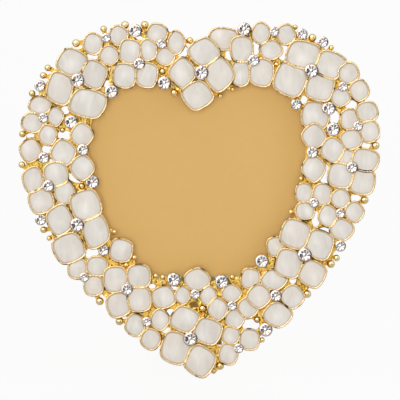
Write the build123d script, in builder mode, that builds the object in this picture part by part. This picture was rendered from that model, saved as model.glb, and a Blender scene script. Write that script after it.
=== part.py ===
from build123d import *
from math import atan, atan2, cos, hypot, pi, radians, sin, sqrt, tan
import os

# Heart shaped photo frame: a border of enamelled blossoms round a heart window, on an easel leg.
# The face has its own axes: u to the right, v up the face from the tip, w out of the front.

# Size of the whole heart on its own face, and how it stands
HEART_W = 108.3
HEART_H = 107.1
LEAN = 12.0
TIP_FLAT = 0.8

# Pierced plate that carries the border
PLATE_T = 1.6
ARM_W = 1.4

# Cast petals: size of one layout step in each family, rise above the plate, rim, neck
# to the stone, and enamel
LARGE_STEP = 0.3
MEDIUM_STEP = 0.3
SMALL_STEP = 0.3
SINGLE_STEP = 0.3
LARGE_RISE = 3.2
MEDIUM_RISE = 2.7
SMALL_RISE = 2.2
SINGLE_RISE = 1.7
RIM = 0.55
NECK_W = 1.2
ENAMEL_T = 0.9
LAP_GAP = 0.06

# A petal is a square with bulging sides and rounded corners: how far a side reaches along half
# its length before the corner's arc starts, and how far it bulges in each family, as shares of
# half the petal
SIDE_SHARE = 0.62
LARGE_BULGE = 0.08
MEDIUM_BULGE = 0.11
SMALL_BULGE = 0.14
SINGLE_BULGE = 0.11

# Cut stones and their bezels
LARGE_STONE = 3.6
MEDIUM_STONE = 3.0
SMALL_STONE = 2.5
GAP_STONE = 3.5
LITTLE_GAP_STONE = 2.9
BEZEL = 0.2
BEZEL_RISE = 0.4
SEAT_DEPTH = 1.1
STONE_FIT = 0.03
GIRDLE_T = 0.25
CROWN_H = 0.6
CUP_RISE = 2.0

# Gold beads, each a ball on a stem
BIG_BEAD = 2.45
MIDDLE_BEAD = 2.05
LITTLE_BEAD = 1.6
BEAD_RISE = 1.1

# Pile behind the window, from the front: glass, photo, card and sliding back
SEAT = 1.6
GLASS_T = 2.0
PHOTO_T = 0.4
CARD_T = 1.0
BACK_T = 1.2
SLIDE_PLAY = 0.3
CHANNEL_WALL = 1.2
LIP = 1.4
LIP_T = 1.0
CHANNEL_RUN = 26.0

# Easel leg and its hinge on the sliding back
HINGE_V = 68.0
BRACKET_T = 1.0
BRACKET_W = 18.0
BRACKET_ABOVE = 9.0
BRACKET_BELOW = 3.0
TONGUE_W = 8.0
EAR_T = 2.5
EAR_R = 2.0
EAR_PLAY = 0.3
PIN_R = 1.0
PIN_PLAY = 0.05
PIN_HEAD_R = 1.5
PIN_HEAD_T = 0.5
LEG_T = 1.6
LEG_NECK = 4.0
LEG_FOOT_W = 14.0
OPEN_ANGLE = 26.0
STOP_GAP = 0.02
RIVET_R = 0.9
RIVET_HEAD_R = 1.6
RIVET_HEAD_T = 0.7
RIVET_SPREAD = 10.0
RIVET_ABOVE = 6.0

# Layout grid: places are counted in steps from its left and top, the heart fills this box of it
GRID_LEFT = 19
GRID_RIGHT = 380
GRID_TOP = 21
GRID_BOTTOM = 378

# Blossoms from the uppermost down, each over those after it: family, stone, and petals, the
# upper ones first, as the middle, width and height of the box that the petal fills, and for a
# few a turn in degrees
BLOSSOMS = {
    "small_blossom_right_shoulder": ("small", (343, 86.7), [
        (348.3, 73, 22.5, 22), (359.3, 90.5, 20.5, 23), (340.5, 97, 21, 20)]),
    "large_blossom_left_shoulder": ("large", (77.5, 80.5), [
        (94, 74.5, 28, 31), (72, 62.3, 32, 29.5), (88, 103.5, 40, 31), (60, 88.5, 28, 35)]),
    "large_blossom_cleft": ("large", (201.3, 73), [
        (204, 52, 34, 30), (182.5, 72.8, 29, 32.5), (197.3, 95.5, 33.5, 31), (219, 74.5, 32, 37)]),
    "large_blossom_right_shoulder": ("large", (311.3, 71), [
        (303, 55, 36, 30), (329.8, 65, 34.5, 30), (290.3, 79.5, 35.5, 37), (320, 87, 30, 30)]),
    "large_blossom_right_low": ("large", (304.5, 255), [
        (295, 234, 32, 32), (319.5, 244.8, 29.5, 32, -10), (288.5, 263.5, 29, 31), (312.3, 273.8, 29, 29.4, -7)]),
    "large_blossom_tip": ("large", (190.3, 338.7), [
        (184.5, 319.3, 31, 27.5), (208, 331.3, 30, 28.5), (175.8, 347.8, 31.4, 34.6, -5), (200, 361, 33, 34, -11)]),
    "large_blossom_left_low": ("large", (77, 225), [
        (85.8, 205.3, 33.5, 33.5), (60, 220, 28, 33), (95.8, 231.5, 28.5, 36), (68.8, 248.3, 34.5, 32.5)]),
    "small_blossom_left_of_cleft": ("small", (161.7, 44), [
        (157, 33.5, 22, 21), (176.3, 42.5, 18.5, 25), (165.3, 56.5, 20.5, 19)]),
    "medium_blossom_left_lobe": ("medium", (139.3, 64), [
        (130, 51.5, 22, 25), (148.5, 49.5, 17, 23), (124.5, 75.8, 24, 25.5), (146.8, 75, 22.5, 26)]),
    "medium_blossom_right_lobe": ("medium", (253.7, 60.5), [
        (261.5, 72.5, 25, 29), (241.8, 49.3, 23.5, 27.5), (240.5, 73.5, 19, 27)]),
    "medium_blossom_right_inner": ("medium", (312.3, 152.5), [
        (313.8, 136.5, 25.5, 27), (332.5, 150, 25, 27), (313.5, 168.5, 25, 29)]),
    "small_blossom_right_edge": ("small", (358, 126), [
        (349.5, 119.3, 19, 21.5), (367, 111.8, 22, 20.5), (369.8, 131.5, 20.5, 23), (351.3, 139.5, 22.5, 21)]),
    "medium_blossom_right_foot": ("medium", (275.8, 295.8), [
        (274, 279.8, 28, 22.5), (259, 296.3, 26, 25.5), (292.3, 296.8, 25.5, 25.5), (277.5, 314.8, 31, 26.6)]),
    "medium_blossom_left_foot": ("medium", (126.9, 289.3), [
        (115.5, 279.5, 25, 27), (138.8, 276.3, 24.5, 24.5), (139.3, 299.3, 24.5, 26.5),
        (118.5, 304.8, 25, 26.5)]),
    "medium_blossom_left_edge": ("medium", (48.3, 186), [
        (33, 179.8, 22, 27.5), (56, 174.3, 25, 25.5), (41.3, 200.8, 26.5, 27.5), (64.8, 193, 22.5, 25)]),
    "medium_blossom_left_inner": ("medium", (83, 149.7), [
        (82.3, 167.8, 25.5, 27.5), (82, 135, 24, 26), (63.3, 152.8, 26.5, 28.5)]),
    "medium_blossom_right_edge": ("medium", (352, 167.5), [
        (365, 160.3, 29, 24.5), (340.8, 175.3, 26.5, 25.5), (362, 181, 26.4, 28), (346, 157.5, 18, 17)]),
    "small_blossom_right_of_tip": ("small", (232, 305.8), [
        (231.5, 293.3, 21, 19.5), (248, 307.8, 22, 22.5), (234.8, 318.8, 20.5, 20.5), (217.5, 309, 21, 24)]),
    "small_blossom_tip_edge": ("small", (238.7, 348.3), [
        (228.3, 354, 19.5, 22), (231, 335.3, 18, 18.5), (249.5, 339.5, 20.5, 22)]),
    "small_blossom_left_lobe": ("small", (106, 38), [
        (93, 43.8, 20, 22.5), (118.3, 35.6, 20.5, 21.5), (109.3, 55.5, 21.5, 21)]),
    "small_blossom_right_lobe": ("small", (274.3, 31.5), [
        (261, 33.3, 20, 23.5), (286, 34.5, 20, 22), (271, 50, 24, 21)]),
    "small_blossom_right_inner": ("small", (313.7, 202.7), [
        (303.8, 192.8, 17.5, 20.5), (322.3, 194.5, 19.5, 23), (305, 211, 20, 18.6)]),
    "small_blossom_right_low": ("small", (340.3, 213.3), [
        (340.5, 198.5, 21, 21), (354.3, 212, 20.5, 22), (328, 216, 20, 24), (341.8, 229.5, 25.5, 23)]),
    "small_blossom_left_of_tip": ("small", (146.7, 321.8), [
        (135.3, 325, 21.5, 24), (160, 319.8, 20, 22.5), (150.8, 339.3, 21.5, 22.5)]),
    "small_blossom_window_foot": ("small", (195.3, 294.2), [
        (182.8, 295.3, 16.5, 19.5), (197, 279.8, 28, 24.5), (208.5, 296, 18, 21)]),
    "small_blossom_left_low": ("small", (84.3, 277.2), [
        (77.5, 268.5, 19.5, 22), (97, 266.3, 22, 20.5), (93.8, 285.6, 20.6, 21.2)]),
    "small_blossom_left_edge": ("small", (43.3, 118), [
        (40, 105.3, 24, 19.5), (55.5, 116.5, 17, 21), (32.5, 122.8, 23, 20.5), (47.8, 135, 19.5, 22)]),
}

# Petals that stand alone between the blossoms, all below them
SINGLE_PETALS = [
    (223.5, 39, 31, 23, 45), (315.5, 115.5, 29, 29), (276.3, 246.5, 19.5, 21), (250.5, 278.8, 20, 21.5),
    (163.3, 297.3, 26.5, 24.5), (121, 250.5, 24, 24), (30.5, 150.3, 23, 25.5),
]

# Stones and beads that fill the gaps between petals
GAP_STONES = [
    (71, 122), (111.3, 91.5), (135, 30.7), (164.3, 83), (244.3, 29.3), (328.7, 108.3), (333.2, 129.2),
    (92.3, 182), (173.7, 279.7), (221.8, 281.8), (262, 261.3), (265.7, 329.7),
]
LITTLE_GAP_STONES = [
    (40, 85.7), (302, 34.2), (322.8, 42), (296.3, 104.4), (43.7, 157.8), (40.7, 219.7), (103.5, 250.3),
    (340.3, 246),
]
BIG_BEADS = [
    (76, 43), (125, 24.8), (144.7, 24.7), (99.7, 301.3), (119.5, 321.3), (202.7, 308.7), (220, 366),
    (307.3, 294), (331, 264), (364.7, 200), (375.7, 145.6), (312.5, 37.5), (174.3, 92.7),
]
MIDDLE_BEADS = [
    (103.5, 28.7), (47.7, 67.7), (43, 75.3), (32, 93.3), (22.3, 134), (21.7, 164.7), (81.7, 186),
    (43.5, 229.8), (257.3, 319.7), (336.7, 258), (190, 40.3), (162.3, 71.3),
]
LITTLE_BEADS = [
    (62.3, 130), (49, 238.3), (114.3, 232), (134.3, 257.5), (126, 265), (155.5, 276), (162.7, 277.3),
    (213.7, 371.3), (232.2, 277.2), (262.3, 340), (301.4, 178.6), (291.2, 212), (331.5, 47.5), (295.3, 27),
    (276.3, 64), (220.3, 96), (232.7, 89.3),
]

# Edge of the plate and of its window, clockwise from the cleft of each
PLATE_EDGE = [
    (200, 50), (222, 36), (262, 27.5), (291, 31), (327, 50), (360, 90), (374.5, 131), (370, 178), (350, 226),
    (324, 269), (288, 311), (238, 351), (199, 370), (162, 347), (127, 318), (86, 277), (57, 238), (35, 198),
    (25, 150), (33, 107), (61, 64), (98, 38), (140, 28), (178, 37),
]
WINDOW_EDGE = [
    (199, 105), (215, 95), (241, 84), (268, 84), (290, 97), (304, 122), (305, 163), (300, 200), (288, 229),
    (265, 258), (240, 276), (199, 280), (160, 278), (132, 262), (109, 238), (99, 212), (93, 180), (88, 148),
    (92, 120), (103, 97), (119, 86), (138, 83), (158, 84), (181, 92),
]
WINDOW_FOOT = 277

# Piercings of the plate: middle, width, height, and turn in degrees
PIERCINGS = [
    (92, 56.5, 11, 8, 0), (107, 86, 6, 12, 0), (141, 36, 12, 7, 0), (65, 110, 9, 8, 0), (64, 135, 14, 9, 0),
    (46.5, 149, 10, 8, 0), (52.5, 161, 7, 5, 0), (30, 135.5, 8, 5, 0), (74, 178, 16, 7, -25),
    (92, 254, 14, 12, 0), (170.5, 312.5, 8, 7, 0), (166, 330.5, 9, 6, 0), (195, 304.5, 12, 6, 0),
    (220.5, 343.3, 7, 7, 0), (182, 51, 12, 12, 0), (230, 54, 9, 12, 0), (255, 48, 9, 14, 0),
    (283.5, 52, 12, 16, 0), (303.5, 99.5, 8, 8, 0), (351.5, 105, 12, 10, 0), (334.5, 117, 10, 14, 0),
    (366.5, 145, 9, 8, 0), (325, 174, 11, 20, 0), (345.5, 189.3, 6, 6, 0), (356, 198.7, 11, 8, 0),
    (316, 219, 8, 16, 0), (325, 231, 14, 7, 0), (293, 280.5, 7, 7, 0), (251, 325, 17, 13, 0),
    (174.3, 287.7, 7, 5, 0), (152, 286.5, 7, 5, 0), (183, 279, 9, 5, 0), (211, 279, 9, 5, 0),
]

# Least area of a piece that is kept when trimmed
LEAST_AREA = 1.0

LEAN_SIN = sin(radians(LEAN))
LEAN_COS = cos(radians(LEAN))
STEP_U = HEART_W / (GRID_RIGHT - GRID_LEFT)
STEP_V = HEART_H / (GRID_BOTTOM - GRID_TOP)
FLAT_DEPTH = TIP_FLAT / LEAN_SIN
FACE = Plane(
    origin=(0, FLAT_DEPTH * LEAN_COS / 2, -TIP_FLAT), x_dir=(1, 0, 0), z_dir=(0, -LEAN_COS, LEAN_SIN)
)

UPWARD = (Align.CENTER, Align.CENTER, Align.MIN)
DOWNWARD = (Align.CENTER, Align.CENTER, Align.MAX)

FAMILY_STEP = {"large": LARGE_STEP, "medium": MEDIUM_STEP, "small": SMALL_STEP, "single": SINGLE_STEP}
FAMILY_BULGE = {"large": LARGE_BULGE, "medium": MEDIUM_BULGE, "small": SMALL_BULGE, "single": SINGLE_BULGE}
FAMILY_RISE = {"large": LARGE_RISE, "medium": MEDIUM_RISE, "small": SMALL_RISE, "single": SINGLE_RISE}
FAMILY_STONE = {"large": LARGE_STONE, "medium": MEDIUM_STONE, "small": SMALL_STONE}


def on_face(x, y):
    """Place on the face, in mm from the tip, of a point of the layout grid."""
    return ((x - (GRID_LEFT + GRID_RIGHT) / 2) * STEP_U, (GRID_BOTTOM - y) * STEP_V)


def spots(places, w):
    """Locations square to the face at grid points, at the height w."""
    return [FACE.location * Location((*on_face(*place), w)) for place in places]


def moved_out(points, grow):
    """Points of a closed anticlockwise outline, each moved out square to the line through its neighbours."""
    moved = []
    for i, (u, v) in enumerate(points):
        before = points[i - 1]
        after = points[(i + 1) % len(points)]
        run_u = after[0] - before[0]
        run_v = after[1] - before[1]
        run = hypot(run_u, run_v)
        moved.append((u + grow * run_v / run, v - grow * run_u / run))
    return moved


def petal_face(family, middle, petal, grow):
    """Face of one petal, grown all round.

    A rounded square with one corner towards the middle of its blossom, turned by the fifth number
    of the petal if there is one, then stretched to fill its box.
    """
    x, y, width, height, *turn = petal
    step = FAMILY_STEP[family]
    away_u = x - middle[0]
    away_v = middle[1] - y
    heading = atan2(away_v, away_u) + pi / 4 + radians(sum(turn))
    bulge = FAMILY_BULGE[family]
    side_lean = 2 * atan(bulge / SIDE_SHARE)
    half_chord = (1 - bulge - SIDE_SHARE) / sqrt(2)
    corner = (1 - bulge + SIDE_SHARE) / 2 + half_chord * tan((pi / 2 - 2 * side_lean) / 4) / sqrt(2)
    quarter = [(1, 0), (1 - bulge, SIDE_SHARE), (corner, corner), (SIDE_SHARE, 1 - bulge)]
    raw = []
    for k in range(4):
        turn_cos = cos(heading + k * pi / 2)
        turn_sin = sin(heading + k * pi / 2)
        raw += [(p * turn_cos - q * turn_sin, p * turn_sin + q * turn_cos) for p, q in quarter]
    spans = [(min(p[k] for p in raw), max(p[k] for p in raw)) for k in (0, 1)]
    middle_u, middle_v = on_face(*middle)
    half = (width * step / 2, height * step / 2)
    base = (middle_u + away_u * step, middle_v + away_v * step)
    fitted = [
        tuple(base[k] + half[k] * (2 * p[k] - spans[k][0] - spans[k][1]) / (spans[k][1] - spans[k][0])
              for k in (0, 1))
        for p in raw
    ]
    points = moved_out(fitted, grow)
    with BuildSketch() as face:
        with BuildLine():
            for i in range(1, len(points), 2):
                ThreePointArc(points[i], points[i + 1 - len(points)], points[i + 2 - len(points)])
        make_face()
    return face.sketch


def neck_face(family, middle, petal):
    """Face of the neck from the stone of a blossom to the middle of a petal."""
    step = FAMILY_STEP[family]
    start = Vector(*on_face(*middle))
    reach = Vector((petal[0] - middle[0]) * step, (middle[1] - petal[1]) * step)
    with BuildSketch() as face:
        SlotCenterPoint(start + reach / 2, start + reach, NECK_W)
    return face.sketch


def disc(place, radius):
    """Round face about a grid point."""
    with BuildSketch() as face:
        with Locations(on_face(*place)):
            Circle(radius)
    return face.sketch


def united(faces):
    """One sketch of several faces."""
    with BuildSketch() as whole:
        for face in faces:
            add(face)
    return whole.sketch


def trimmed(face, cutters):
    """What the cutters that reach a face leave of it, without slivers."""
    box = face.bounding_box()
    near = [c for c in cutters if box.overlaps(c.bounding_box())]
    with BuildSketch() as rest:
        add(face)
        for cutter in near:
            add(cutter, mode=Mode.SUBTRACT)
    return [piece for piece in rest.sketch.faces() if piece.area > LEAST_AREA]


def heart_face(grow):
    """Face of the window heart, moved out all round, with its foot cut flat."""
    outline = [on_face(*p) for p in reversed(WINDOW_EDGE)]
    foot = on_face(0, WINDOW_FOOT)[1]
    with BuildSketch() as face:
        with BuildLine():
            Spline(*moved_out(outline, grow), periodic=True)
        make_face()
        with Locations((0, foot)):
            Rectangle(2 * HEART_W, HEART_H, align=(Align.CENTER, Align.MAX), mode=Mode.SUBTRACT)
    return face.sketch


def export(builder, name):
    """Label a finished piece and write it."""
    builder.part.label = name
    export_step(builder.part, f"parts/{name}.step")


os.makedirs("parts", exist_ok=True)

# Faces of the stones and beads of the gaps, which cut into every petal that they touch
gap_stones = [(GAP_STONE, GAP_STONES), (LITTLE_GAP_STONE, LITTLE_GAP_STONES)]
beads = [(BIG_BEAD, BIG_BEADS), (MIDDLE_BEAD, MIDDLE_BEADS), (LITTLE_BEAD, LITTLE_BEADS)]
cutters = [disc(place, size / 2 + BEZEL + LAP_GAP) for size, places in gap_stones for place in places]
cutters += [disc(place, size / 2 + LAP_GAP) for size, places in beads for place in places]

# Blossoms: cast cups with a walled pocket in each petal and a bezel for the stone
enamel_faces = {"large": [], "medium": [], "small": [], "single": []}
for name, (family, stone_place, petals) in BLOSSOMS.items():
    rise = FAMILY_RISE[family]
    stone = FAMILY_STONE[family]
    petal_faces = [petal_face(family, stone_place, petal, 0) for petal in petals]
    necks = [neck_face(family, stone_place, petal) for petal in petals]
    bezel = disc(stone_place, stone / 2 + BEZEL)
    outline = trimmed(united([bezel] + necks + petal_faces), cutters)
    pockets = []
    for i, petal in enumerate(petals):
        inner = petal_face(family, stone_place, petal, -RIM)
        pockets += trimmed(inner, petal_faces[:i] + [bezel] + cutters)
    with BuildPart() as blossom:
        with BuildSketch(FACE.offset(PLATE_T)):
            add(outline)
        extrude(amount=rise)
        with BuildSketch(FACE.offset(PLATE_T + rise)):
            add(pockets)
        extrude(amount=-ENAMEL_T, mode=Mode.SUBTRACT)
        with BuildSketch(FACE.offset(PLATE_T + rise)):
            add(bezel)
        extrude(amount=BEZEL_RISE)
        with BuildSketch(FACE.offset(PLATE_T + rise + BEZEL_RISE)):
            with Locations(on_face(*stone_place)):
                Circle(stone / 2)
        extrude(amount=-SEAT_DEPTH, mode=Mode.SUBTRACT)
        split(bisect_by=Plane.XY, keep=Keep.TOP)
    export(blossom, name)
    enamel_faces[family] += pockets
    cutters.append(united(
        [disc(stone_place, stone / 2 + BEZEL + LAP_GAP)]
        + [petal_face(family, stone_place, petal, LAP_GAP) for petal in petals]
    ))

# Single petals: the same cups without a stone, turned to the middle of the heart
heart_middle = ((GRID_LEFT + GRID_RIGHT) / 2, (GRID_TOP + GRID_BOTTOM) / 2)
single_outlines = []
for petal in SINGLE_PETALS:
    single_outlines += trimmed(petal_face("single", heart_middle, petal, 0), cutters)
    enamel_faces["single"] += trimmed(petal_face("single", heart_middle, petal, -RIM), cutters)
with BuildPart() as single_petals:
    with BuildSketch(FACE.offset(PLATE_T)):
        add(single_outlines)
    extrude(amount=SINGLE_RISE)
    with BuildSketch(FACE.offset(PLATE_T + SINGLE_RISE)):
        add(enamel_faces["single"])
    extrude(amount=-ENAMEL_T, mode=Mode.SUBTRACT)
export(single_petals, "single_petals")

# Enamel: one fired fill in each pocket, level with the rim
for family, faces in enamel_faces.items():
    with BuildPart() as enamel:
        with BuildSketch(FACE.offset(PLATE_T + FAMILY_RISE[family])):
            add(faces)
        extrude(amount=-ENAMEL_T)
    export(enamel, f"{family}_petal_enamel")

# Bezels of the stones that sit in the gaps
with BuildPart() as stone_cups:
    for size, places in gap_stones:
        with Locations(*spots(places, PLATE_T)):
            Cylinder(size / 2 + BEZEL, CUP_RISE, align=UPWARD)
        with Locations(*spots(places, PLATE_T + CUP_RISE)):
            Cylinder(size / 2, SEAT_DEPTH, align=DOWNWARD, mode=Mode.SUBTRACT)
export(stone_cups, "stone_cups")

# Cut stones: a cone down into the seat, a girdle, and a crown with a flat table
stone_sets = {"gap_crystals": [(size, places, PLATE_T + CUP_RISE) for size, places in gap_stones]}
for family, size in FAMILY_STONE.items():
    places = [place for kind, place, petals in BLOSSOMS.values() if kind == family]
    rim_w = PLATE_T + FAMILY_RISE[family] + BEZEL_RISE
    stone_sets[f"{family}_blossom_crystals"] = [(size, places, rim_w)]
for name, stones in stone_sets.items():
    with BuildPart() as crystals:
        for size, places, rim_w in stones:
            radius = size / 2 - STONE_FIT
            with Locations(*spots(places, rim_w - SEAT_DEPTH)):
                Cone(radius / 3, radius, SEAT_DEPTH - GIRDLE_T, align=UPWARD)
            with Locations(*spots(places, rim_w - GIRDLE_T)):
                Cylinder(radius, GIRDLE_T, align=UPWARD)
            with Locations(*spots(places, rim_w)):
                Cone(radius, radius / 2, CROWN_H, align=UPWARD)
    export(crystals, name)

# Gold beads: balls on short stems that stand on the plate
with BuildPart() as gold_beads:
    for size, places in beads:
        with Locations(*spots(places, PLATE_T)):
            Cylinder(size / 4, BEAD_RISE, align=UPWARD)
        with Locations(*spots(places, PLATE_T + BEAD_RISE)):
            Sphere(size / 2)
        with Locations(*spots(places, PLATE_T)):
            Cylinder(size, size, align=DOWNWARD, mode=Mode.SUBTRACT)
export(gold_beads, "gold_beads")

# Plate: a pierced heart with a window, an arm out to each stone and bead, and a tab under the tip
tip_family, tip_place, tip_petals = BLOSSOMS["large_blossom_tip"]
stone_places = [place for kind, place, petals in BLOSSOMS.values()]
tip_tab = petal_face(tip_family, tip_place, tip_petals[-1], 0)
with BuildPart() as heart_plate:
    with BuildSketch(FACE):
        with BuildLine():
            Spline(*[on_face(*p) for p in PLATE_EDGE], periodic=True)
        make_face()
        for x, y, width, height, turn in PIERCINGS:
            with Locations(on_face(x, y)):
                Ellipse(width * STEP_U / 2, height * STEP_V / 2, rotation=turn, mode=Mode.SUBTRACT)
        add(heart_face(0), mode=Mode.SUBTRACT)
        add(tip_tab)
        for place in (place for size, places in gap_stones + beads for place in places):
            nearest = min(stone_places, key=lambda stone: hypot(stone[0] - place[0], stone[1] - place[1]))
            start = Vector(*on_face(*place))
            reach = Vector(*on_face(*nearest)) - start
            SlotCenterPoint(start + reach / 2, start + reach, ARM_W)
    extrude(amount=PLATE_T)
    split(bisect_by=Plane.XY, keep=Keep.TOP)
export(heart_plate, "heart_plate")

# Pile behind the window, each a heart with a flat foot
photo_w = -GLASS_T
card_w = photo_w - PHOTO_T
pile_w = card_w - CARD_T
back_w = pile_w - SLIDE_PLAY
back_rear_w = back_w - BACK_T
pile_face = heart_face(SEAT)
with BuildPart() as glass_pane:
    with BuildSketch(FACE):
        add(pile_face)
    extrude(amount=-GLASS_T)
export(glass_pane, "glass_pane")

with BuildPart() as photo_insert:
    with BuildSketch(FACE.offset(photo_w)):
        add(pile_face)
    extrude(amount=-PHOTO_T)
export(photo_insert, "photo_insert")

with BuildPart() as backing_card:
    with BuildSketch(FACE.offset(card_w)):
        add(pile_face)
    extrude(amount=-CARD_T)
export(backing_card, "backing_card")

# Channels: strips round the lower sides of the pile, with a lip behind the sliding back
lip_w = back_rear_w - SLIDE_PLAY
channel_low = on_face(0, WINDOW_FOOT)[1]
for side, edge in (("left", Align.MAX), ("right", Align.MIN)):
    with BuildSketch() as half:
        with Locations((0, channel_low)):
            Rectangle(HEART_W, CHANNEL_RUN, align=(edge, Align.MIN))
    with BuildPart() as channel:
        with BuildSketch(FACE):
            add(heart_face(SEAT + SLIDE_PLAY + CHANNEL_WALL))
            add(heart_face(SEAT + SLIDE_PLAY), mode=Mode.SUBTRACT)
            add(half.sketch, mode=Mode.INTERSECT)
        extrude(amount=lip_w - LIP_T)
        with BuildSketch(FACE.offset(lip_w)):
            add(heart_face(SEAT + SLIDE_PLAY + CHANNEL_WALL))
            add(heart_face(SEAT - LIP), mode=Mode.SUBTRACT)
            add(half.sketch, mode=Mode.INTERSECT)
        extrude(amount=-LIP_T)
    export(channel, f"{side}_channel")

# Sliding back: sheet with two rivet holes for the hinge bracket
rivet_places = [(side * RIVET_SPREAD / 2, HINGE_V + RIVET_ABOVE) for side in (-1, 1)]
with BuildPart() as back_plate:
    with BuildSketch(FACE.offset(back_w)):
        add(pile_face)
        with Locations(*rivet_places):
            Circle(RIVET_R, mode=Mode.SUBTRACT)
    extrude(amount=-BACK_T)
export(back_plate, "back_plate")

# Hinge bracket: a riveted base with two ears that hold the pin
base_rear_w = back_rear_w - BRACKET_T
pin_drop = EAR_R + EAR_PLAY
pin_w = base_rear_w - pin_drop
pin_at = FACE.from_local_coords((0, HINGE_V, pin_w))
SIDE = Plane(origin=pin_at, x_dir=FACE.y_dir, z_dir=FACE.x_dir)
ear_from = TONGUE_W / 2 + EAR_PLAY
with BuildPart() as hinge_bracket:
    with BuildSketch(FACE.offset(back_rear_w)):
        with Locations((0, HINGE_V - BRACKET_BELOW)):
            Rectangle(BRACKET_W, BRACKET_BELOW + BRACKET_ABOVE, align=(Align.CENTER, Align.MIN))
        with Locations(*rivet_places):
            Circle(RIVET_R, mode=Mode.SUBTRACT)
    extrude(amount=-BRACKET_T)
    for side_plane, reach in ((SIDE.offset(ear_from), EAR_T), (SIDE.offset(-ear_from), -EAR_T)):
        with BuildSketch(side_plane):
            Circle(EAR_R)
            Rectangle(2 * EAR_R, pin_drop, align=(Align.CENTER, Align.MIN))
            Circle(PIN_R, mode=Mode.SUBTRACT)
        extrude(amount=reach)
export(hinge_bracket, "hinge_bracket")

# Rivets: shanks flush with the front of the back, round heads behind the bracket
with BuildPart() as bracket_rivets:
    with BuildSketch(FACE.offset(back_w)):
        with Locations(*rivet_places):
            Circle(RIVET_R)
    extrude(amount=base_rear_w - back_w)
    with BuildSketch(FACE.offset(base_rear_w)):
        with Locations(*rivet_places):
            Circle(RIVET_HEAD_R)
    extrude(amount=-RIVET_HEAD_T, taper=30)
export(bracket_rivets, "bracket_rivets")

# Hinge pin: fixed in the ears, with a peened head at each end
ear_outer = ear_from + EAR_T
with BuildPart() as hinge_pin:
    with BuildSketch(SIDE):
        Circle(PIN_R)
    extrude(amount=ear_outer, both=True)
    for side_plane, reach in ((SIDE.offset(ear_outer), PIN_HEAD_T), (SIDE.offset(-ear_outer), -PIN_HEAD_T)):
        with BuildSketch(side_plane):
            Circle(PIN_HEAD_R)
        extrude(amount=reach)
export(hinge_pin, "hinge_pin")

# Easel leg: a flared strut cut level at its foot, with a tongue on the pin and a heel that
# meets the bracket when the leg is fully open
leg_up = FACE.y_dir * cos(radians(OPEN_ANGLE)) + FACE.z_dir * sin(radians(OPEN_ANGLE))
LEG = Plane(origin=pin_at, x_dir=FACE.x_dir, z_dir=FACE.x_dir.cross(leg_up))
leg_run = pin_at.Z / leg_up.Z
heel = (pin_drop - STOP_GAP - LEG_T / 2 * cos(radians(OPEN_ANGLE))) / sin(radians(OPEN_ANGLE))
with BuildPart() as easel_leg:
    with BuildSketch(LEG.offset(-LEG_T / 2)):
        with BuildLine():
            Polyline(
                (TONGUE_W / 2, heel), (TONGUE_W / 2, -LEG_NECK), (LEG_FOOT_W / 2, -leg_run - LEG_T),
                (-LEG_FOOT_W / 2, -leg_run - LEG_T), (-TONGUE_W / 2, -LEG_NECK), (-TONGUE_W / 2, heel),
                close=True,
            )
        make_face()
    extrude(amount=LEG_T)
    with BuildSketch(SIDE):
        Circle(EAR_R)
    extrude(amount=TONGUE_W / 2, both=True)
    with BuildSketch(SIDE):
        Circle(PIN_R + PIN_PLAY)
    extrude(amount=TONGUE_W / 2, both=True, mode=Mode.SUBTRACT)
    split(bisect_by=Plane.XY, keep=Keep.TOP)
export(easel_leg, "easel_leg")
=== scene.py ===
import bpy
import numpy as np
from mathutils import Matrix, Vector


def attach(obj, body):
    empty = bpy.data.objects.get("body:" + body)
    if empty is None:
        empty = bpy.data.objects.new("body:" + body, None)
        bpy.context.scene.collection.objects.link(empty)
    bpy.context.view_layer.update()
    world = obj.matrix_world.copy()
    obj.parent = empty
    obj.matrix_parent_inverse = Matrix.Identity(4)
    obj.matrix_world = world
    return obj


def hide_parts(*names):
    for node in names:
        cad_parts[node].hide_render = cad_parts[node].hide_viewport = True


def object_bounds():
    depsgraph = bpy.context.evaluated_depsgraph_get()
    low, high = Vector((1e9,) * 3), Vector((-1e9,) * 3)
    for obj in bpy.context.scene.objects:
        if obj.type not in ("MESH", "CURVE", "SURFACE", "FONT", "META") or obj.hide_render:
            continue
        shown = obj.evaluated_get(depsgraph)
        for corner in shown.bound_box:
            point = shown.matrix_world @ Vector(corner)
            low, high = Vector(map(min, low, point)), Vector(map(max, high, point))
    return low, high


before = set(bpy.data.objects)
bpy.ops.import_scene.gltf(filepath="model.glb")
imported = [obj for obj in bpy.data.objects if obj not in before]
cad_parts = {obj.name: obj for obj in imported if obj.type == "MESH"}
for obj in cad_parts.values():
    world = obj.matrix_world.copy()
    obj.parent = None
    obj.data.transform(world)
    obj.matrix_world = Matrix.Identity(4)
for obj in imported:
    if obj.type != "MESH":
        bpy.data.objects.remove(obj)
cad_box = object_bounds()

# Heart plate: the pierced sheet behind the border, which shows between the petals.
# Cast pewter, polished and gold plated. The blossoms, stone cups and beads are soldered to it.
LEAN = np.radians(12.0)
TIP_FLAT = 0.8
ACROSS = np.array([1.0, 0.0, 0.0])
UP_FACE = np.array([0.0, np.sin(LEAN), np.cos(LEAN)])
OUT = np.array([0.0, -np.cos(LEAN), np.sin(LEAN)])
FACE_AXES = np.stack([ACROSS, UP_FACE, OUT])
FACE_ORIGIN = np.array([0.0, TIP_FLAT / np.tan(LEAN) / 2, -TIP_FLAT]) / 1000


def linear(colour):
    """Linear colour of an sRGB hex value: c / 12.92 when dark, else ((c + 0.055) / 1.055) ^ 2.4."""
    srgb = np.array([int(colour[i:i + 2], 16) for i in (1, 3, 5)]) / 255
    bright = np.where(srgb <= 0.04045, srgb / 12.92, ((srgb + 0.055) / 1.055) ** 2.4)
    return (*bright, 1.0)


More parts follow.
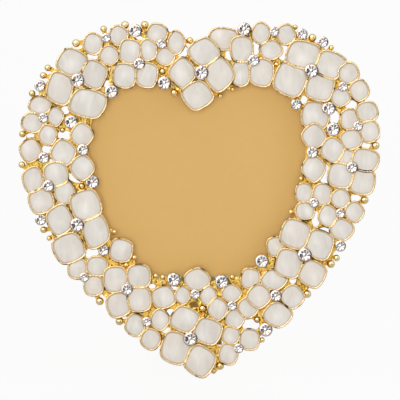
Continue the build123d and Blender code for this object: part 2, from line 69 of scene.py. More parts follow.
def add_node(tree, kind, settings, links=None):
    """Add a node. A setting is a property or an input's value, a link joins an output to an input."""
    made = tree.nodes.new("ShaderNode" + kind)
    for name, value in settings.items():
        if isinstance(name, str) and hasattr(made, name):
            setattr(made, name, value)
        else:
            made.inputs[name].default_value = value
    for name, output in (links or {}).items():
        tree.links.new(output, made.inputs[name])
    return made


def noise(tree, place, mm, detail, distortion=0.0):
    """Noise with features about so many mm wide, read at a place in metres."""
    settings = {"Scale": 1000 / mm, "Detail": detail, "Distortion": distortion}
    return add_node(tree, "TexNoise", settings, {"Vector": place}).outputs["Fac"]


def ranged(tree, value, to, start=(0.0, 1.0), kind="LINEAR"):
    """A value carried from the start range to another one, and held at its ends."""
    settings = {
        "interpolation_type": kind, "From Min": start[0], "From Max": start[1],
        "To Min": to[0], "To Max": to[1],
    }
    return add_node(tree, "MapRange", settings, {"Value": value}).outputs["Result"]


def calculated(tree, operation, first, second, clamp=True):
    """A sum, product or the like of two values, held between 0 and 1 unless told otherwise."""
    settings = {"operation": operation, "use_clamp": clamp}
    return add_node(tree, "Math", settings, {0: first, 1: second}).outputs["Value"]


def scaled_sum(tree, first, factor, second):
    """The first value times a number, plus the second value, held between 0 and 1."""
    settings = {"operation": "MULTIPLY_ADD", "use_clamp": True, 1: factor}
    return add_node(tree, "Math", settings, {0: first, 2: second}).outputs["Value"]


def two_tones(tree, share, low, high):
    """The low hex colour where the share is 0, and the high one where it is 1."""
    settings = {"data_type": "RGBA", 6: linear(low), 7: linear(high)}
    return add_node(tree, "Mix", settings, {0: share}).outputs[2]


def tinted(tree, share, under, over):
    """A colour output, covered by a hex colour where the share is 1."""
    settings = {"data_type": "RGBA", 7: linear(over)}
    return add_node(tree, "Mix", settings, {0: share, 6: under}).outputs[2]


def relief(tree, height, deep_mm, strength=1.0):
    """Normals of a surface with a relief so many mm deep."""
    settings = {"Strength": strength, "Distance": deep_mm / 1000}
    return add_node(tree, "Bump", settings, {"Height": height}).outputs["Normal"]


def mesh_value(tree, name):
    """A value that a mesh carries under this name, 0 where it has none."""
    return add_node(tree, "Attribute", {"attribute_name": name}).outputs["Fac"]


def new_material(name):
    """An empty material, its node tree and the place of a point on the object in metres."""
    material = bpy.data.materials.new(name)
    material.use_nodes = True
    tree = material.node_tree
    tree.nodes.clear()
    return material, tree, add_node(tree, "TexCoord", {}).outputs["Object"]


def show(tree, shader):
    """Join a shader to the material's output."""
    output = tree.nodes.new("ShaderNodeOutputMaterial")
    tree.links.new(shader, output.inputs["Surface"])


def show_surface(tree, settings, links):
    """Join a surface with these settings and links to the material's output."""
    show(tree, add_node(tree, "BsdfPrincipled", settings, links).outputs["BSDF"])


def plated_gold(name, pale, deep, rough, ripple_mm, ripple_depth):
    """Gold plate on a polished casting: pale on what stands out, deeper low down, partly as wear
    where polish doesn't reach and partly as painted shade in the recesses.

    The face's own height, read from turned Object coordinates, counts from 0.8 mm, below the
    plate's top, to 5.2 mm at the highest rims. Soft ripples of the casting bend the reflections.
    Where a piece has a flank value, its flanks are yellower and keep dark strokes: painted shade and
    a painted reflection of the dark room.
    """
    material, tree, place = new_material(name)
    turned = add_node(
        tree, "Mapping",
        {"vector_type": "TEXTURE", "Location": FACE_ORIGIN, "Rotation": (np.pi / 2 - LEAN, 0, 0)},
        {"Vector": place},
    )
    parts = add_node(tree, "SeparateXYZ", {}, {"Vector": turned.outputs["Vector"]})
    # Deeper colour low down: partly wear, partly painted shade in the recesses between the raised
    # parts
    height = ranged(tree, parts.outputs["Z"], (0.0, 1.0), (0.0008, 0.0052), "SMOOTHSTEP")
    cloud = noise(tree, place, 3.0, 3.0)
    patch = ranged(tree, cloud, (-0.5, 0.3), (0.35, 0.65))
    wear_and_recess_shade = calculated(tree, "ADD", patch, height)
    plate = two_tones(tree, wear_and_recess_shade, deep, pale)
    # Painted shade on the flanks: a yellower tint and dark strokes that stand for the dark room
    # mirrored there
    flank = mesh_value(tree, "flank")
    strokes = ranged(tree, cloud, (0.0, 3.0), (0.42, 0.37))
    painted_flank_strokes = calculated(tree, "MULTIPLY", strokes, flank)
    shaded_flank_tint = tinted(tree, flank, plate, "#EDC466")
    ripple = noise(tree, place, ripple_mm, 1.0)
    show_surface(tree, {"Metallic": 1.0}, {
        "Base Color": tinted(tree, painted_flank_strokes, shaded_flank_tint, "#33230B"),
        "Roughness": ranged(tree, cloud, (rough * 1.5, rough * 0.7)),
        "Normal": relief(tree, ripple, ripple_depth),
    })
    return material


def finish_node(name, material, ease_mm=0.0):
    """Give a CAD node its material, eased edges, and normals that follow its large faces."""
    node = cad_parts[name]
    node.data.materials.clear()
    node.data.materials.append(material)
    if ease_mm:
        joined = node.modifiers.new("joined", "WELD")
        joined.merge_threshold = 1e-6
        eased_edges = node.modifiers.new("eased_edges", "BEVEL")
        eased_edges.width = ease_mm / 1000
        eased_edges.segments = 2
        eased_edges.limit_method = "ANGLE"
        eased_edges.angle_limit = np.radians(50)
    flats = node.modifiers.new("flats", "WEIGHTED_NORMAL")
    flats.weight = 100


cast_gold = plated_gold(
    "polished_gold_plate", "#FBE4A4", "#EBC05E", rough=0.14, ripple_mm=1.2, ripple_depth=0.28
)
finish_node("heart_plate", cast_gold)

# Blossom cups: shallow castings, one pocket to a petal, with a bezel for the stone.
# The same gold plated pewter as the plate; the single petals between them are made alike.
cup_names = [
    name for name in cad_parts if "blossom_" in name and not name.endswith("crystals")
]
for cup_name in [*cup_names, "single_petals"]:
    finish_node(cup_name, cast_gold)

# Rim wires: the rounded gold edge of every petal, polished bright by wear.
# Part of the casting: a round bead, half sunk, that follows the edge of each pocket.
RIM_OFFSET = 0.45
RIM_R = 0.26
RIM_POINTS = 72
RIM_SIDES = 10
FLANK_SLOPE = 2.2
FLANK_START = 0.1
CORNER_ROUNDS = 3
FAMILIES = ("large", "medium", "small", "single")


def face_places(name):
    """Merged corners of a CAD node on the face, in mm across, up and out, and its triangles."""
    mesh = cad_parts[name].data
    corners = np.empty(len(mesh.vertices) * 3, np.float32)
    mesh.vertices.foreach_get("co", corners)
    mesh.calc_loop_triangles()
    triangles = np.empty(len(mesh.loop_triangles) * 3, np.int32)
    mesh.loop_triangles.foreach_get("vertices", triangles)
    corners = corners.reshape(-1, 3).astype(float)
    kept, merged = np.unique(np.round(corners * 1e7), axis=0, return_inverse=True)
    places = (kept / 1e7 - FACE_ORIGIN) @ FACE_AXES.T * 1000
    return places, merged.ravel()[triangles].reshape(-1, 3)


def top_outlines(name, count, doublings=16):
    """Outlines of the flat tops of a CAD node's solids, each as evenly spaced points.

    The outline is the triangle edges that no other top triangle shares. Doubling the step from
    corner to corner gives each loop its lowest corner, and each corner its distance to that one.
    """
    places, triangles = face_places(name)
    on_top = places[:, 2] > places[:, 2].max() - 0.01
    top = triangles[on_top[triangles].all(axis=1)]
    start = top.ravel()
    end = np.roll(top, -1, axis=1).ravel()
    total = len(places)
    edge = ~np.isin(start.astype(np.int64) * total + end, end.astype(np.int64) * total + start)
    after = np.arange(total)
    after[start[edge]] = end[edge]
    lowest = np.arange(total)
    jump = after.copy()
    for doubling in range(doublings):
        lowest = np.minimum(lowest, lowest[jump])
        jump = jump[jump]
    first = lowest == np.arange(total)
    steps = np.where(first, 0, 1)
    jump = np.where(first, lowest, after)
    for doubling in range(doublings):
        steps = steps + steps[jump]
        jump = jump[jump]
    rank = np.where(first, 0, -steps)
    rank = np.where(first, rank.min() - 1, rank)
    outlines = []
    for loop in np.unique(lowest[start[edge]]):
        members = np.flatnonzero(lowest == loop)
        ring = places[members[np.argsort(rank[members])], :2]
        closed = np.vstack([ring, ring[:1]])
        along = np.r_[0, np.cumsum(np.linalg.norm(np.diff(closed, axis=0), axis=1))]
        stops = np.arange(count) / count * along[-1]
        outlines.append(np.stack([np.interp(stops, along, closed[:, k]) for k in (0, 1)], axis=-1))
    return np.array(outlines), places[:, 2].max()


def eased(rings, rounds):
    """Closed rings with eased corners: each point moves to (before + 2 own + after) / 4."""
    for turn in range(rounds):
        rings = (np.roll(rings, 1, axis=1) + 2 * rings + np.roll(rings, -1, axis=1)) / 4
    return rings


def outward(rings):
    """Unit normals of closed rings that run anticlockwise: their travel turned to the right."""
    travel = np.roll(rings, -1, axis=1) - np.roll(rings, 1, axis=1)
    travel /= np.linalg.norm(travel, axis=-1, keepdims=True)
    return np.stack([travel[..., 1], -travel[..., 0]], axis=-1)


def grid_faces(copies, rows, columns, rows_close=False):
    """Quads of equal grids whose columns close on themselves, and whose rows may."""
    row = np.arange(rows if rows_close else rows - 1)[:, None]
    column = np.arange(columns)[None, :]
    after_row = (row + 1) % rows
    after_column = (column + 1) % columns
    corners = [
        row * columns + column, row * columns + after_column,
        after_row * columns + after_column, after_row * columns + column,
    ]
    one = np.stack(np.broadcast_arrays(*corners), axis=-1).reshape(-1, 4)
    return (one + np.arange(copies)[:, None, None] * rows * columns).reshape(-1, 4)


def end_rings(copies, rows, columns):
    """Corner numbers of the first and last rings of equal grids, and of the hubs after them."""
    first = np.arange(copies)[:, None] * rows * columns + np.arange(columns)
    return first, first + (rows - 1) * columns, copies * rows * columns + np.arange(copies)


def fans(rings, hubs, forward=True):
    """Triangles from closed rings of corner numbers to one hub each, facing forward or back."""
    hub = np.broadcast_to(np.reshape(hubs, (-1, 1)), rings.shape)
    after = np.roll(rings, -1, axis=1)
    corners = [rings, after, hub] if forward else [after, rings, hub]
    return np.stack(corners, axis=-1).reshape(-1, 3).tolist()


def new_piece(name, face_points, faces, material, smooth=True, body="frame"):
    """A mesh piece from points on the face in mm, held inside the solids' box, riding on a body."""
    mesh = bpy.data.meshes.new(name)
    world = FACE_ORIGIN + face_points.reshape(-1, 3) @ FACE_AXES / 1000
    mesh.from_pydata(np.clip(world, *cad_box).tolist(), [], faces)
    mesh.polygons.foreach_set("use_smooth", np.full(len(mesh.polygons), smooth))
    mesh.materials.append(material)
    mesh.update()
    piece = bpy.data.objects.new(name, mesh)
    bpy.context.scene.collection.objects.link(piece)
    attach(piece, body)
    return piece


def set_values(piece, name, domain, *values):
    """Store values under a name, one for each corner point or face of a piece."""
    stored = piece.data.attributes.new(name, "FLOAT", domain)
    everything = np.concatenate([np.ravel(part) for part in values])
    stored.data.foreach_set("value", everything.astype(np.float32))


rim_gold = plated_gold(
    "bright_gold_rim", "#FBE8C6", "#E2B864", rough=0.09, ripple_mm=0.6, ripple_depth=0.15
)
around = np.arange(RIM_SIDES) / RIM_SIDES * 2 * np.pi
# Painted shade on each wire's outer flank: 1 on the outside, fading to 0 before the top
outer_flank_shade = np.clip(np.cos(around) * FLANK_SLOPE - FLANK_START, 0, 1)
for family in FAMILIES:
    outlines, top = top_outlines(f"{family}_petal_enamel", RIM_POINTS)
    path = eased(outlines, CORNER_ROUNDS)
    sideways = outward(path)
    path = path + sideways * RIM_OFFSET
    # A circle of radius RIM_R about the path: RIM_R cos(a) sideways, RIM_R sin(a) up
    reach = RIM_R * np.cos(around)
    lift = RIM_R * np.sin(around)
    flat = path[:, :, None, :] + sideways[:, :, None, :] * reach[:, None]
    rise = np.broadcast_to(top + lift, flat.shape[:3])[..., None]
    wires = np.concatenate([flat, rise], axis=-1)
    skin = grid_faces(len(wires), RIM_POINTS, RIM_SIDES, rows_close=True)[:, ::-1].tolist()
    rims = new_piece(f"{family}_petal_rims", wires, skin, rim_gold)
    set_values(rims, "flank", "POINT", np.tile(outer_flank_shade, len(wires) * RIM_POINTS))

# Enamel: soft pearly off-white fills, one to a petal, slightly domed between the rims.
# Resin enamel flowed into the pocket and cured; mica in it gives the faint silky streaks.
DOME = 0.4
DOME_FULL_WIDTH = 9.0
DOME_LEAST = 0.4
DOME_RINGS = 8
FILL_ROWS = DOME_RINGS + 1
FILL_DEPTH = 0.5
EDGE_LIFT = 0.03
EDGE_OFFSET = RIM_OFFSET - RIM_R * 0.9
FILM_TURNS = 120
SHEEN_ASIDE = 0.2
SHEEN_REACH = 0.26


def silky_enamel(name):
    """Cured pearl enamel: off-white, satin, with streaks 2.4 mm wide and three times as long.

    Mica grain is drawn at 0.3 mm. Each petal has its own tone, more or less warm, as batches of
    hand-mixed enamel do, and a painted sheen to one side: a pale patch for the dome's soft highlight.
    """
    material, tree, place = new_material(name)
    long_way = add_node(
        tree, "Mapping", {"Rotation": (0, 0.5, 0), "Scale": (1.0, 1.0, 0.35)}, {"Vector": place}
    )
    streak = noise(tree, long_way.outputs["Vector"], 2.4, 4.0, 0.8)
    cloud = noise(tree, place, 9.0, 2.0)
    mica = noise(tree, place, 0.3, 1.0)
    pearl = two_tones(tree, streak, "#BFB8AC", "#E6E2DC")
    warmth = calculated(tree, "MULTIPLY", cloud, mesh_value(tree, "tone"))
    body = tinted(tree, warmth, pearl, "#DDD1C4")
    # Painted sheen: a pale patch to one side of each petal, standing for the dome's soft highlight
    painted_sheen_share = calculated(tree, "MULTIPLY", streak, mesh_value(tree, "painted_sheen"))
    shine = tinted(tree, painted_sheen_share, body, "#F4F1EC")
    # Painted shade: a warm darker band along the edge, where the enamel meets the raised rim
    edge = ranged(tree, mesh_value(tree, "inward"), (0.6, 0.0), (0.0, 0.13), "SMOOTHSTEP")
    show_surface(tree, {"Coat Weight": 0.3, "Coat Roughness": 0.15}, {
        "Base Color": tinted(tree, edge, shine, "#D2B284"),
        "Roughness": ranged(tree, mica, (0.3, 0.5)),
        "Normal": relief(tree, streak, 0.1, 0.08),
    })
    return material


pearl_enamel = silky_enamel("pearl_enamel")
batches = np.random.default_rng(11)
inward = np.linspace(0, 1, DOME_RINGS + 1)[:-1]
for family in FAMILIES:
    outlines, top = top_outlines(f"{family}_petal_enamel", RIM_POINTS)
    path = eased(outlines, CORNER_ROUNDS)
    edge = path + outward(path) * EDGE_OFFSET
    middle = edge.mean(axis=1, keepdims=True)
    outer_share = (1 - inward)[:, None, None]
    rings = edge[:, None] * outer_share + middle[:, None] * inward[:, None, None]
    # Like a soap film: every inner point moves to the mean of its four neighbours
    for turn in range(FILM_TURNS):
        centre = np.broadcast_to(middle[:, None], rings[:, :1].shape)
        inner = np.concatenate([rings[:, 2:], centre], axis=1)
        beside = np.roll(rings, 1, axis=2) + np.roll(rings, -1, axis=2)
        rings[:, 1:] = (rings[:, :-1] + inner + beside[:, 1:]) / 4
        middle = rings[:, -1].mean(axis=1, keepdims=True)
    # The dome rises as swell (1 - (1 - inward) ^ 2), and less on narrow petals
    width = np.sqrt(np.ptp(edge[..., 0], axis=1) * np.ptp(edge[..., 1], axis=1))
    swell = DOME * np.clip(width / DOME_FULL_WIDTH, DOME_LEAST, 1.0)
    lift = swell[:, None] * (1 - (1 - inward) ** 2) + EDGE_LIFT
    # Under its edge the fill goes down into the pocket
    rings = np.concatenate([path[:, None], rings], axis=1)
    lift = np.pad(lift, ((0, 0), (1, 0)), constant_values=-FILL_DEPTH)
    rise = np.broadcast_to((top + lift)[:, :, None, None], (*rings.shape[:3], 1))
    petals = len(rings)
    fills = np.concatenate([rings, rise], axis=-1).reshape(-1, 3)
    crowns = np.column_stack([middle[:, 0], top + swell + EDGE_LIFT])
    feet = np.column_stack([middle[:, 0], np.full(petals, top - FILL_DEPTH)])
    first, last, hubs = end_rings(petals, FILL_ROWS, RIM_POINTS)
    skin = grid_faces(petals, FILL_ROWS, RIM_POINTS).tolist()
    enamel = new_piece(
        f"{family}_pearl_petals", np.vstack([fills, crowns, feet]),
        [*skin, *fans(last, hubs), *fans(first, hubs + petals, False)], pearl_enamel,
    )
    # The dome is smooth, and its hidden side and foot are flat
    domed = np.ones((petals, DOME_RINGS, RIM_POINTS), bool)
    domed[:, 0] = False
    domed_fans = np.repeat([True, False], petals * RIM_POINTS)
    enamel.data.polygons.foreach_set("use_smooth", np.r_[domed.ravel(), domed_fans])
    ring_depth = np.broadcast_to(np.r_[0, inward][None, :, None], rings.shape[:3])
    set_values(enamel, "inward", "POINT", ring_depth, np.ones(petals), np.zeros(petals))
    tone = batches.uniform(0.1, 0.9, petals)
    ring_tone = np.repeat(tone, FILL_ROWS * RIM_POINTS)
    set_values(enamel, "tone", "POINT", ring_tone, tone, tone)
    # The painted sheen fades from its own middle as exp(-(distance / (SHEEN_REACH width)) ^ 2)
    aside = batches.uniform(-SHEEN_ASIDE, SHEEN_ASIDE, (petals, 2)) * width[:, None]
    away = np.concatenate([rings.reshape(petals, -1, 2), middle[:, 0][:, None]], axis=1)
    away = np.linalg.norm(away - (middle[:, 0] + aside)[:, None], axis=-1)
    away = away / (SHEEN_REACH * width[:, None])
    glow = batches.uniform(0.3, 1.0, petals)[:, None] * np.exp(-away ** 2)
    set_values(enamel, "painted_sheen", "POINT", glow[:, :-1], glow[:, -1], np.zeros(petals))
    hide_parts(f"{family}_petal_enamel")

# Cut stones: round glass chatons in the blossom centres and in the gaps.
# Pressed and polished glass with a silvered back, so each facet is a small mirror.
# Rings run from the setting's edge over the crown into the star: shares of radius, mm from top.
STONE_SIDES = 16
STONE_RADII = np.array([1.2, 1.2, 1.08, 0.86, 0.32])
STONE_HEIGHTS = np.array([-0.7, -0.19, -0.15, -0.04, -0.3])
STONE_TURNS = np.array([0.0, 0.0, 0.0, 0.5, 0.0])
STONE_HUB = -0.16
STONE_SPARK = np.array([-0.6, -0.6, 0.38, 0.36])
STONE_RAYS = np.array([0.0, 0.0, 0.05, 0.4])
STAR_SPARK = 0.55
STAR_RAYS = 0.35
GLITTER = 0.25


def cut_glass(name):
    """Silvered glass: facets white to dark by a painted reflection for each facet, brown at the
    setting.
    """
    material, tree, place = new_material(name)
    haze = noise(tree, place, 0.8, 1.0)
    painted_facet_light = scaled_sum(tree, haze, 0.2, mesh_value(tree, "spark"))
    tint = add_node(tree, "ValToRGB", {}, {"Fac": painted_facet_light})
    stops = tint.color_ramp.elements
    stops[0].position = 0.06
    stops[0].color = linear("#A9825C")
    stops[1].position = 0.5
    stops[1].color = linear("#FFFFFF")
    stops.new(0.16).color = linear("#3E3C42")
    stops.new(0.36).color = linear("#B4ACAE")
    show_surface(
        tree, {"Metallic": 0.85, "Roughness": 0.06, "Coat Weight": 0.6, "Coat Roughness": 0.02},
        {"Base Color": tint.outputs["Color"]},
    )
    return material


def solids(name):
    """Middle, half width and top of each separate solid of a CAD node, on the face in mm.

    The lowest corner number spreads through the triangles until nothing changes.
    """
    places, triangles = face_places(name)
    label = np.arange(len(places))
    painted_sheen_share = False
    while not painted_sheen_share:
        spread = label.copy()
        np.minimum.at(spread, triangles.ravel(), np.repeat(label[triangles].min(axis=1), 3))
        spread = spread[spread]
        painted_sheen_share = np.array_equal(spread, label)
        label = spread
    number = np.unique(label, return_inverse=True)[1]
    low = np.full((number.max() + 1, 3), np.inf)
    high = -low
    np.minimum.at(low, number, places)
    np.maximum.at(high, number, places)
    return (low + high)[:, :2] / 2, (high - low)[:, 0] / 2, high[:, 2]


def turned_rings(middles, reach, rise, angle):
    """Rings of points about each middle: (x + reach cos(a), y + reach sin(a), rise)."""
    across = middles[:, 0, None, None] + reach * np.cos(angle)
    up = middles[:, 1, None, None] + reach * np.sin(angle)
    return np.stack(np.broadcast_arrays(across, up, rise), axis=-1)


glitter = np.random.default_rng(5)
silvered_glass = cut_glass("silvered_cut_glass")
rows = len(STONE_RADII)
angle = (np.arange(STONE_SIDES)[None] + STONE_TURNS[:, None]) / STONE_SIDES * 2 * np.pi
# Rays of the star are dark and bright in turn, as painted reflections
ray = np.where(np.arange(STONE_SIDES) % 2, 1.0, -1.0)
row_spark = STONE_SPARK[:, None] + STONE_RAYS[:, None] * ray
for setting in ("large_blossom", "medium_blossom", "small_blossom", "gap"):
    name = f"{setting}_crystals"
    middles, radii, tops = solids(name)
    count = len(radii)
    spin = glitter.uniform(0, 2 * np.pi, count)[:, None, None]
    reach = radii[:, None, None] * STONE_RADII[None, :, None]
    rise = tops[:, None, None] + STONE_HEIGHTS[None, :, None]
    stones = turned_rings(middles, reach, rise, angle + spin)
    stars = np.column_stack([middles, tops + STONE_HUB])
    feet = np.column_stack([middles, tops + STONE_HEIGHTS[0]])
    # Each quad of the crown and star is two facets
    quads = grid_faces(count, rows, STONE_SIDES)
    facets = np.vstack([quads[:, [0, 1, 2]], quads[:, [0, 2, 3]]]).tolist()
    first, last, hubs = end_rings(count, rows, STONE_SIDES)
    crystals = new_piece(
        f"{setting}_stones", np.vstack([stones.reshape(-1, 3), stars, feet]),
        [*facets, *fans(last, hubs), *fans(first, hubs + count, False)],
        silvered_glass, smooth=False,
    )
    # Each facet's painted reflection: its ring's level, with some random glitter
    facet_glitter = glitter.uniform(-GLITTER, GLITTER, (2, count, rows - 1, STONE_SIDES))
    star_glitter = glitter.uniform(-GLITTER, GLITTER, (count, STONE_SIDES))
    star_spark = STAR_SPARK - STAR_RAYS * ray + star_glitter
    foot_spark = np.zeros(star_spark.size)
    set_values(crystals, "spark", "FACE", row_spark + facet_glitter, star_spark, foot_spark)
    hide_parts(name)

# Stone cups: plain round bezels that hold the stones of the gaps.
# Turned from tube, soldered to the arms of the plate and plated with it.
finish_node("stone_cups", cast_gold)

# Gold beads: small balls on short stems that fill the gaps and dot the edge.
# Cast with the plate and polished; each is a ball of reach r sin(t), on a stem half as wide.
BEAD_ROWS = 10
BEAD_SIDES = 20
BEAD_CAP = 0.12
STEM_FOOT = 1.55
bead_gold = plated_gold(
    "polished_gold_bead", "#FFEFBC", "#F6D684", rough=0.08, ripple_mm=1.4, ripple_depth=0.03
)
middles, radii, tops = solids("gold_beads")
count = len(radii)
polar = np.linspace(BEAD_CAP, 5 * np.pi / 6, BEAD_ROWS)
turn = np.arange(BEAD_SIDES) / BEAD_SIDES * 2 * np.pi
ball_reach = radii[:, None] * np.sin(polar)
ball_rise = tops[:, None] - radii[:, None] * (1 - np.cos(polar))
# The stem is one more ring, as wide as the ball's last and down in the plate
reach = np.concatenate([ball_reach, ball_reach[:, -1:]], axis=1)[..., None]
rise = np.concatenate([ball_rise, np.full((count, 1), STEM_FOOT)], axis=1)[..., None]
beads = turned_rings(middles, reach, rise, turn)
crowns = np.column_stack([middles, tops])
feet = np.column_stack([middles, np.full(count, STEM_FOOT)])
skin = grid_faces(count, BEAD_ROWS + 1, BEAD_SIDES)[:, ::-1].tolist()
first, last, hubs = end_rings(count, BEAD_ROWS + 1, BEAD_SIDES)
balls = new_piece(
    "gold_balls", np.vstack([beads.reshape(-1, 3), crowns, feet]),
    [*skin, *fans(first, hubs), *fans(last, hubs + count, False)], bead_gold,
)
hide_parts("gold_beads")

# Window: a clear pane, the plain tan insert behind it, and the board that presses them forward.
# Float glass with a ground edge, matt coated paper, and grey board cut to the same heart.
SLAB_POINTS = 240


def clear_pane(name):
    """Float glass: nearly all light passes, and faint waves 15 mm long bend its reflections."""
    material, tree, place = new_material(name)
    wave = noise(tree, place, 15.0, 0.0)
    show_surface(tree, {"Base Color": linear("#F4F8F6"), "Alpha": 0.03, "IOR": 1.45}, {
        "Normal": relief(tree, wave, 0.2, 0.05), "Roughness": ranged(tree, wave, (0.01, 0.03)),
    })
    return material


def ground_glass(name):
    """The pane's ground edge: frosted pale green, with the grit's marks drawn at 0.4 mm."""
    material, tree, place = new_material(name)
    grit = noise(tree, place, 0.4, 2.0)
    show_surface(tree, {"Alpha": 0.85, "IOR": 1.45}, {
        "Base Color": two_tones(tree, grit, "#9DB8AB", "#D3E2DA"),
        "Roughness": ranged(tree, grit, (0.45, 0.7)),
    })
    return material


def pressed_fibres(name, pale, dark, rough, fibre_mm):
    """Paper or board: a mat of fibres, seen as a mottle of two close tones and a soft tooth."""
    material, tree, place = new_material(name)
    fibre = noise(tree, place, fibre_mm, 4.0, 1.5)
    show_surface(tree, {"Specular IOR Level": 0.2}, {
        "Base Color": two_tones(tree, fibre, dark, pale),
        "Roughness": ranged(tree, fibre, (rough, rough + 0.1)),
        "Normal": relief(tree, fibre, 0.05, 0.1),
    })
    return material


def heart_slab(name, node, thick, ease, material):
    """A flat heart like a CAD node's: its outline at four heights, the outer two drawn in.

    It is a few hundredths of a mm thinner than its node, so that no two sheets meet in one plane.
    """
    outlines, top = top_outlines(node, SLAB_POINTS)
    inset = outlines - outward(eased(outlines, 2)) * ease
    heights = np.array([0, -ease, ease - thick, -thick]) + top
    rings = np.concatenate([inset, outlines, outlines, inset])
    rise = np.broadcast_to(heights[:, None, None], (len(heights), SLAB_POINTS, 1))
    front = np.arange(SLAB_POINTS)
    sides = grid_faces(1, len(heights), SLAB_POINTS)[:, ::-1].tolist()
    caps = [front.tolist(), (front + (len(heights) - 1) * SLAB_POINTS)[::-1].tolist()]
    points = np.concatenate([rings, rise], axis=-1)
    slab = new_piece(name, points, caps + sides, material, smooth=False)
    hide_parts(node)
    return slab


float_glass = clear_pane("float_glass")
pane = heart_slab("window_pane", "glass_pane", 1.94, 0.2, float_glass)
pane.data.materials.append(ground_glass("ground_glass_edge"))
# The first two faces are the pane's front and back, the others its edge
pane.data.polygons.foreach_set("material_index", np.arange(len(pane.data.polygons)) > 1)
tan_paper = pressed_fibres("tan_coated_paper", "#D9AF61", "#D4A95A", rough=0.75, fibre_mm=1.0)
heart_slab("tan_insert", "photo_insert", 0.36, 0.02, tan_paper)
grey_board = pressed_fibres("grey_board", "#B9AE9A", "#9C917D", rough=0.85, fibre_mm=0.6)
heart_slab("pressing_board", "backing_card", 1.0, 0.05, grey_board)

# Back: two bent channels, the sheet that slides in them, and the easel leg on its bracket.
# Gold plated sheet brass with a brushed grain up the back; the hinge pin is plain steel.
SHEET_EASE = 0.2
GRAIN = 0.03


def brushed_sheet(name, pale, dark, rough, grain):
    """Brushed metal: scratches drawn 0.4 mm apart and many times as long, along the grain."""
    material, tree, place = new_material(name)
    drawn = add_node(tree, "Mapping", {"Scale": grain}, {"Vector": place})
    scratch = noise(tree, drawn.outputs["Vector"], 0.4, 3.0)
    cloud = noise(tree, place, 18.0, 2.0)
    show_surface(tree, {"Metallic": 1.0}, {
        "Base Color": two_tones(tree, scaled_sum(tree, scratch, 0.6, cloud), dark, pale),
        "Roughness": ranged(tree, scratch, (rough * 0.8, rough * 1.3)),
        "Normal": relief(tree, scratch, 0.05, 0.15),
    })
    return material


sheet_gold = brushed_sheet(
    "brushed_gold_sheet", "#E9C782", "#B98A3A", rough=0.3, grain=(1.0, GRAIN, GRAIN)
)
drawn_steel = brushed_sheet(
    "drawn_steel_wire", "#C9CACC", "#8B8D91", rough=0.28, grain=(GRAIN, 1.0, 1.0)
)
for name in ("left_channel", "right_channel", "back_plate", "easel_leg"):
    finish_node(name, sheet_gold, SHEET_EASE)
finish_node("hinge_bracket", sheet_gold)
finish_node("hinge_pin", drawn_steel)

# Rivets: two round heads that hold the bracket on the sliding back.
# Brass, set with a cup tool: reach r sin(t), height h (1 - cos(t)) from the crown at the rear.
RIVET_ROWS = 7
RIVET_SIDES = 28
RIVET_CAP = 0.15
RIVET_HEAD = 0.7
RIVET_SEAT = 0.05
middles, radii, tops = solids("bracket_rivets")
count = len(radii)
rear = face_places("bracket_rivets")[0][:, 2].min()
polar = np.linspace(RIVET_CAP, np.pi / 2, RIVET_ROWS)
turn = np.arange(RIVET_SIDES) / RIVET_SIDES * 2 * np.pi
reach = (radii[:, None] * np.sin(polar))[..., None]
rise = (rear + RIVET_HEAD * (1 - np.cos(polar)))[None, :, None]
domes = turned_rings(middles, reach, rise, turn)
crowns = np.column_stack([middles, np.full(count, rear)])
seats = crowns + [0, 0, RIVET_HEAD + RIVET_SEAT]
skin = grid_faces(count, RIVET_ROWS, RIVET_SIDES).tolist()
first, last, hubs = end_rings(count, RIVET_ROWS, RIVET_SIDES)
heads = new_piece(
    "rivet_heads", np.vstack([domes.reshape(-1, 3), crowns, seats]),
    [*skin, *fans(first, hubs, False), *fans(last, hubs + count)],
    bead_gold, body="back",
)
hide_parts("bracket_rivets")

# Stage: a white floor, white all round for the camera, and soft lamps in front and above.
# The camera looks square at the leaning face through a long lens, as in the photo.
VIEW_MM = 120.0
VIEW_MIDDLE = (0.15, 53.4, 4.0)
CAMERA_AWAY = 1.2
SENSOR_MM = 36.0
FLOOR_HALF = 3
FLOOR_GLOW = 0.93
ROOM_LIGHT = 0.22
CARD_TURN = np.radians(24)
BOX_TURN = np.radians(42)
DARK_CARD = np.cos(CARD_TURN) * OUT + np.sin(CARD_TURN) * ACROSS
BRIGHT_BOX = np.cos(BOX_TURN) * OUT + np.sin(BOX_TURN) * (0.8 * UP_FACE - 0.6 * ACROSS)


def seen_straight(tree):
    """1 for rays from the camera, also those that passed through the pane, and 0 for others."""
    seen = add_node(tree, "LightPath", {}).outputs
    return calculated(tree, "MAXIMUM", seen["Is Camera Ray"], seen["Is Transmission Ray"], False)


corners = FLOOR_HALF * np.array([(-1, -1, 0), (1, -1, 0), (1, 1, 0), (-1, 1, 0)])
floor_mesh = bpy.data.meshes.new("floor")
floor_mesh.from_pydata(corners.tolist(), [], [(0, 1, 2, 3)])
floor = bpy.data.objects.new("floor", floor_mesh)
bpy.context.scene.collection.objects.link(floor)
white_floor, tree, place = new_material("white_floor")
paper = add_node(tree, "BsdfDiffuse", {"Color": linear("#F2F2F2")})
glow = add_node(tree, "Emission", {"Color": linear("#FFFFFF"), "Strength": 1.0})
share = add_node(
    tree, "Math", {"operation": "MULTIPLY", 1: FLOOR_GLOW}, {0: seen_straight(tree)}
)
blend = add_node(tree, "MixShader", {}, {
    0: share.outputs["Value"], 1: paper.outputs["BSDF"], 2: glow.outputs["Emission"],
})
show(tree, blend.outputs["Shader"])
floor_mesh.materials.append(white_floor)

world = bpy.data.worlds.new("studio")
world.use_nodes = True
tree = world.node_tree
tree.nodes.clear()
output = tree.nodes.new("ShaderNodeOutputWorld")
way = add_node(tree, "TexCoord", {}).outputs["Generated"]


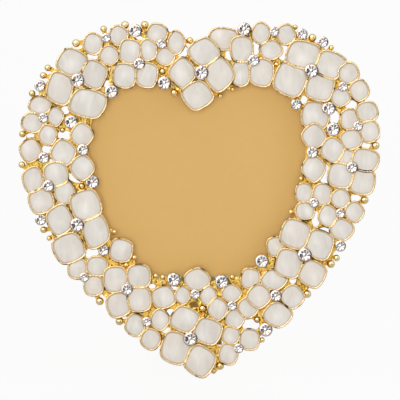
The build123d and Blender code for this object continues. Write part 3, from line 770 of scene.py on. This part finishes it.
def toward(direction):
    """How near a ray's way comes to a direction: the cosine of the angle between them."""
    settings = {"operation": "DOT_PRODUCT", 1: direction}
    return add_node(tree, "VectorMath", settings, {0: way}).outputs["Value"]


# A white tent in front and a backdrop behind, darker at the sides of the frame
facing = toward(OUT)
tent = ranged(tree, facing, (0.35, 1.0), (-0.5, 0.1))
backdrop = ranged(tree, facing, (0.35, 0.95), (-0.5, -0.85))
bright = calculated(tree, "MAXIMUM", tent, backdrop, False)
# A dark card beside the camera and a bright box above it draw marks and glints on beads and rims
card = ranged(tree, toward(DARK_CARD), (1.0, 0.06), (0.93, 0.98))
tented = calculated(tree, "MULTIPLY", bright, card, False)
glint = ranged(tree, toward(BRIGHT_BOX), (0.0, 1.8), (0.86, 0.93))
room = calculated(tree, "ADD", tented, glint, False)
mirrors = add_node(tree, "LightPath", {}).outputs["Is Glossy Ray"]
mirrored = add_node(tree, "Mix", {"data_type": "FLOAT", 2: ROOM_LIGHT}, {0: mirrors, 3: room})
level = add_node(
    tree, "Mix", {"data_type": "FLOAT", 3: 1.0}, {0: seen_straight(tree), 2: mirrored.outputs[0]}
)
sky = add_node(
    tree, "Background", {"Color": linear("#FFFFFF")}, {"Strength": level.outputs[0]}
)
tree.links.new(sky.outputs["Background"], output.inputs["Surface"])
bpy.context.scene.world = world

# Lamps, each with its place in metres, width and watts
heart_middle = Vector(FACE_ORIGIN + np.array(VIEW_MIDDLE) @ FACE_AXES / 1000)
for name, place, size, watts in (
    ("front_box", (-0.05, -0.95, 0.26), 0.4, 5.9),
    ("right_box", (0.6, -0.5, 0.25), 0.4, 0.7),
    ("top_box", (0.0, -0.1, 0.9), 0.6, 0.8),
    ("back_box", (0.2, 0.8, 0.6), 0.5, 2.5),
):
    lamp = bpy.data.lights.new(name, "AREA")
    lamp.shape = "SQUARE"
    lamp.size = size
    lamp.energy = watts
    box = bpy.data.objects.new(name, lamp)
    box.location = place
    box.visible_glossy = False
    box.rotation_euler = (heart_middle - box.location).to_track_quat("-Z", "Y").to_euler()
    bpy.context.scene.collection.objects.link(box)

lens = bpy.data.cameras.new("camera")
lens.sensor_width = SENSOR_MM
lens.lens = SENSOR_MM * CAMERA_AWAY * 1000 / VIEW_MM
camera = bpy.data.objects.new("camera", lens)
turned = Matrix(FACE_AXES.T.tolist()).to_4x4()
camera.matrix_world = Matrix.Translation(heart_middle + Vector(OUT) * CAMERA_AWAY) @ turned
bpy.context.scene.collection.objects.link(camera)
bpy.context.scene.camera = camera
bpy.context.scene.view_settings.view_transform = "Standard"
